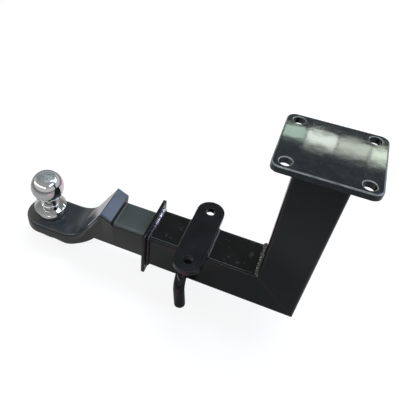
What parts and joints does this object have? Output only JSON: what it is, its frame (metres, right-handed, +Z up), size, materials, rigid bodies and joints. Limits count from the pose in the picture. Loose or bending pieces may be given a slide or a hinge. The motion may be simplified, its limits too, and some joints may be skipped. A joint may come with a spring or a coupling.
{
  "type": "trailer hitch",
  "caption": "Bolt-on drop hitch: welded square receiver, removable forged ball mount with its tow ball, bent hitch pin and spring clip.",
  "frame": {"origin": "centre of the mounting plate's upper face, which is also the centre of its four bolt holes", "axes": "+X toward the front of the vehicle, the tow ball lies toward -X; +Y across the vehicle; +Z up, out of the plate's upper face"},
  "size_m": [0.458, 0.134, 0.3095],
  "materials": {
    "plate_paint": "gloss black paint",
    "tube_paint": "satin black paint",
    "collar_paint": "satin black paint",
    "chain_plate_paint": "satin black paint",
    "weld_paint": "black paint over rippled weld beads",
    "forging_paint": "satin grey-black paint over a forging",
    "ball_chrome": "bright chrome plate",
    "zinc_plate": "bright zinc plate",
    "pin_black": "gloss black coating",
    "spring_wire": "zinc-plated spring wire"
  },
  "bodies": {
    "receiver": {"mounting_plate": "plate_paint", "drop_leg": "tube_paint", "receiver_tube": "tube_paint", "receiver_collar": "collar_paint", "safety_chain_plate": "chain_plate_paint", "mitre_weld": "tube_paint", "inner_corner_weld": "weld_paint", "plate_weld": "weld_paint", "collar_weld": "weld_paint", "chain_plate_welds": "weld_paint"},
    "ball_mount": {"ball_mount": "forging_paint", "tow_ball": "ball_chrome", "ball_lock_washer": "zinc_plate", "ball_nut": "zinc_plate"},
    "hitch_pin": {"hitch_pin": "pin_black"},
    "pin_clip": {"pin_clip": "spring_wire"}
  },
  "joints": [
    {"name": "ball_mount_play", "type": "slide", "parent": "receiver", "child": "ball_mount", "axis": [-1, 0, 0], "range_m": [-0.00028, 0.00028]},
    {"name": "hitch_pin_swing", "type": "hinge", "parent": "receiver", "child": "hitch_pin", "pos_m": [-0.1265, 0, -0.231], "axis": [0, 1, 0], "range_deg": [-110, 65]},
    {"name": "pin_clip_pull", "type": "slide", "parent": "hitch_pin", "child": "pin_clip", "axis": [-0.9925, 0, -0.1219], "range_m": [0, 0.05], "deforming": ["pin_clip"]}
  ]
}
